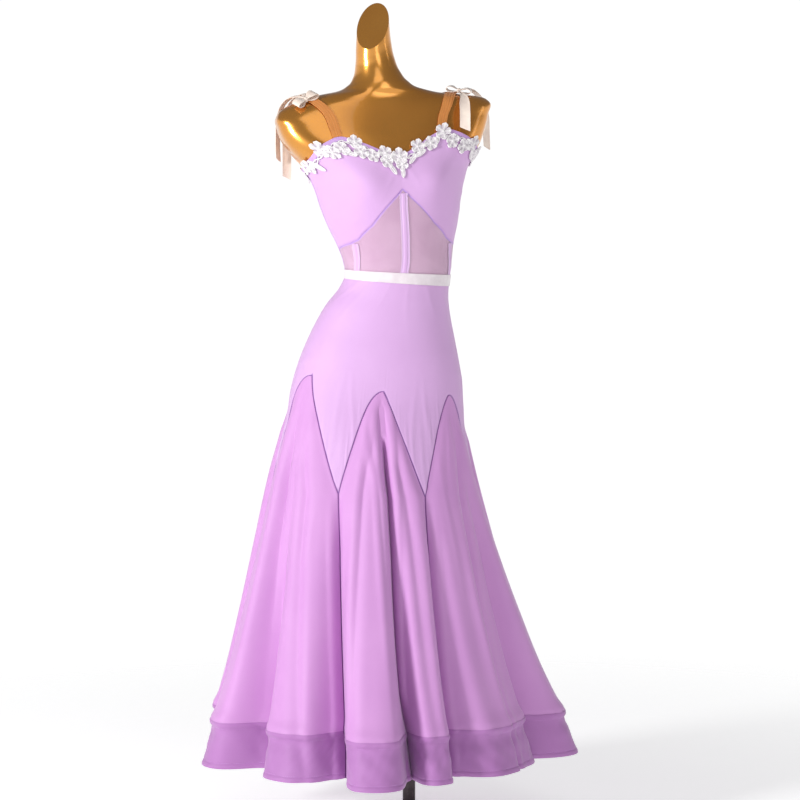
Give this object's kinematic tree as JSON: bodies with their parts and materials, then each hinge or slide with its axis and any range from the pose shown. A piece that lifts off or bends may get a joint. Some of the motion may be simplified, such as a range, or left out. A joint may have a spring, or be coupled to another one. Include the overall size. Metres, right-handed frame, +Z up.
{
  "type": "ballroom dance dress on a limbless dress form with a pole stand",
  "caption": "Lavender ballroom dance dress with lace neckline, sheer midriff, ribbon waist and godet skirt, on a gold limbless dress form.",
  "frame": {"origin": "centre of the underside of the stand's round base", "axes": "+Z up along the pole, -Y towards the front of the dress"},
  "size_m": [0.7372, 0.7104, 1.6054],
  "materials": {
    "form_gold": "glossy metallic gold lacquer",
    "stand_metal": "dark satin",
    "lavender_stretch": "matt stretch crepe",
    "lilac_crepe": "soft satin-back crepe",
    "sheer_mesh": "sheer stretch mesh",
    "boning_tape": "picot-edged tape",
    "ivory_satin": "satin ribbon",
    "white_lace": "guipure lace",
    "tan_elastic": "ribbed elastic",
    "neck_binding": "bias binding"
  },
  "bodies": {
    "root": {"form_body": "form_gold", "form_pole": "stand_metal", "form_base": "stand_metal", "bodice_front": "lavender_stretch", "bodice_back": "lavender_stretch", "midriff_front": "sheer_mesh", "neck_binding_front": "neck_binding", "neck_binding_back": "neck_binding", "strip_left": "boning_tape", "strip_centre": "boning_tape", "strip_right": "boning_tape", "waist_ribbon": "ivory_satin", "yoke_front": "lavender_stretch", "yoke_back": "lavender_stretch", "godet_1": "lilac_crepe", "godet_2": "lilac_crepe", "godet_3": "lilac_crepe", "godet_4": "lilac_crepe", "godet_5": "lilac_crepe", "godet_6": "lilac_crepe", "godet_7": "lilac_crepe", "band_1": "lilac_crepe", "band_2": "lilac_crepe", "band_3": "lilac_crepe", "band_4": "lilac_crepe", "band_5": "lilac_crepe", "band_6": "lilac_crepe", "band_7": "lilac_crepe", "lace_front": "white_lace", "lace_back": "white_lace", "strap_left": "tan_elastic", "strap_right": "tan_elastic", "bow_left_loop_a": "ivory_satin", "bow_left_loop_b": "ivory_satin", "bow_left_knot": "ivory_satin", "bow_left_tail_a": "ivory_satin", "bow_left_tail_b": "ivory_satin", "bow_right_loop_a": "ivory_satin", "bow_right_loop_b": "ivory_satin", "bow_right_knot": "ivory_satin", "bow_right_tail_a": "ivory_satin", "bow_right_tail_b": "ivory_satin"}
  },
  "joints": []
}
